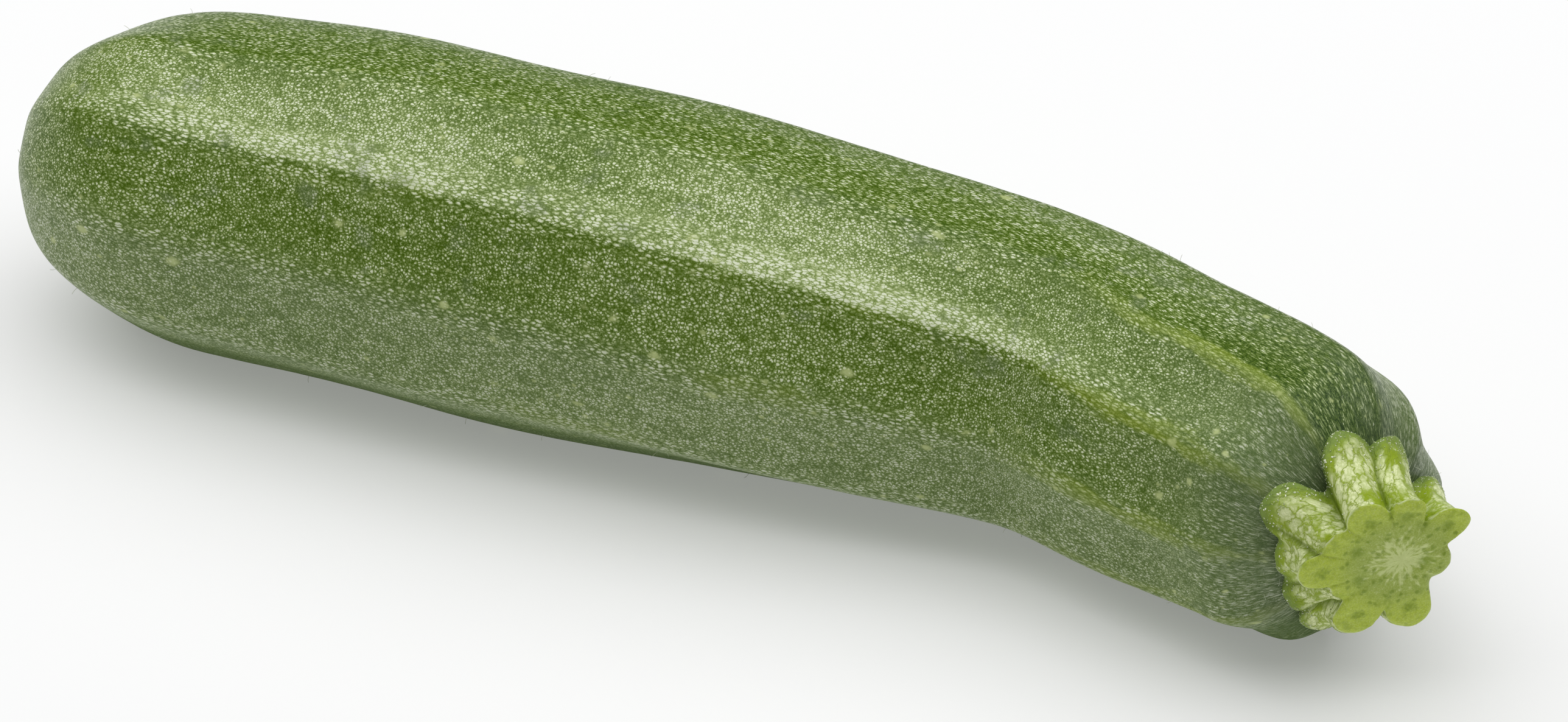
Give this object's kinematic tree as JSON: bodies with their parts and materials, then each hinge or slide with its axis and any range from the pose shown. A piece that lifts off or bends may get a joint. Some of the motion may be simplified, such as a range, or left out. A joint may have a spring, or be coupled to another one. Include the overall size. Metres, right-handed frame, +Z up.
{
  "type": "courgette",
  "caption": "Whole green courgette, ribbed and gently bent, with its short cut stem, lying on its flat belly spot.",
  "frame": {"origin": "on the resting surface, under the middle of the bounding box", "axes": "+X along the fruit from the blossom end to the stem, +Z up, the bend is hollow on the -Y side"},
  "size_m": [0.2117, 0.0588, 0.0483],
  "materials": {
    "green_skin": "waxy satin skin, dark green with pale specks",
    "stem_green": "moist yellow-green stalk, freshly cut"
  },
  "bodies": {
    "root": {"fruit": "green_skin", "stem": "stem_green"}
  },
  "joints": []
}
